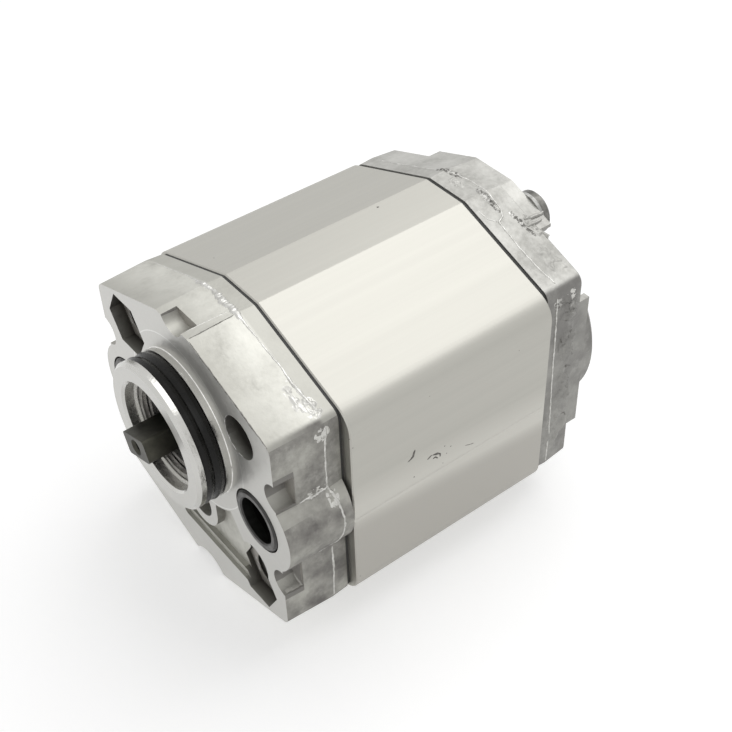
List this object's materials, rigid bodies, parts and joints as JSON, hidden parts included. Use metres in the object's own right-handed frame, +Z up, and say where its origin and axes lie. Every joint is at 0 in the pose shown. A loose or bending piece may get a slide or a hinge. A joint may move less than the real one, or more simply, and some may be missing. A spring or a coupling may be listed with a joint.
{
  "type": "hydraulic gear pump",
  "caption": "External gear pump with an extruded hexagonal body, cast end covers, a round pilot spigot with a ring seal, a flat driving tang and ports in the mounting face.",
  "frame": {"origin": "drive shaft's line at the mounting face of the front cover", "axes": "+X right seen from the front, -Y out of the mounting face along the drive shaft towards the tang, +Z up from the driven shaft to the drive shaft"},
  "size_m": [0.0686, 0.0945, 0.0688],
  "materials": {
    "cast_front": "as-cast, satin",
    "cast_rear": "as-cast, satin",
    "extruded_body": "satin anodised",
    "shaft_steel": "case hardened, dark",
    "black_rubber": "matte",
    "seal_case_steel": "bright",
    "spring_steel": "bright",
    "gasket_black": "matte",
    "block_aluminium": "machined",
    "bush_bronze": "machined",
    "support_plastic": "matte",
    "dowel_steel": "ground",
    "screw_steel": "oiled",
    "washer_aluminium": "bright"
  },
  "bodies": {
    "stator": {"front_cover": "cast_front", "rear_cover": "cast_rear", "pump_body": "extruded_body", "spigot_ring_seal": "black_rubber", "pressure_port_seal": "black_rubber", "suction_port_seal": "black_rubber", "shaft_seal_lip": "black_rubber", "front_field_seal": "black_rubber", "rear_field_seal": "black_rubber", "shaft_seal_case": "seal_case_steel", "shaft_seal_spring": "seal_case_steel", "retaining_ring": "spring_steel", "front_gasket": "gasket_black", "rear_gasket": "gasket_black", "front_bearing_block": "block_aluminium", "rear_bearing_block": "block_aluminium", "front_drive_bush": "bush_bronze", "front_driven_bush": "bush_bronze", "rear_drive_bush": "bush_bronze", "rear_driven_bush": "bush_bronze", "front_upper_seal_support": "support_plastic", "front_lower_seal_support": "support_plastic", "rear_upper_seal_support": "support_plastic", "rear_lower_seal_support": "support_plastic", "front_upper_dowel": "dowel_steel", "front_lower_dowel": "dowel_steel", "rear_upper_dowel": "dowel_steel", "rear_lower_dowel": "dowel_steel", "upper_assembly_screw": "screw_steel", "lower_assembly_screw": "screw_steel", "upper_screw_washer": "screw_steel", "lower_screw_washer": "screw_steel", "drain_plug": "screw_steel", "drain_plug_washer": "washer_aluminium"},
    "drive_rotor": {"drive_gear_shaft": "shaft_steel"},
    "driven_rotor": {"driven_gear_shaft": "shaft_steel"}
  },
  "joints": [
    {"name": "drive_spin", "type": "hinge", "parent": "stator", "child": "drive_rotor", "pos_m": [0, 0.04, 0], "axis": [0, 1, 0], "continuous": true},
    {"name": "driven_spin", "type": "hinge", "parent": "stator", "child": "driven_rotor", "pos_m": [0, 0.04, -0.018], "axis": [0, 1, 0], "continuous": true}
  ],
  "couplings": [
    {"joint": "driven_spin", "follows": "drive_spin", "ratio": -1}
  ]
}
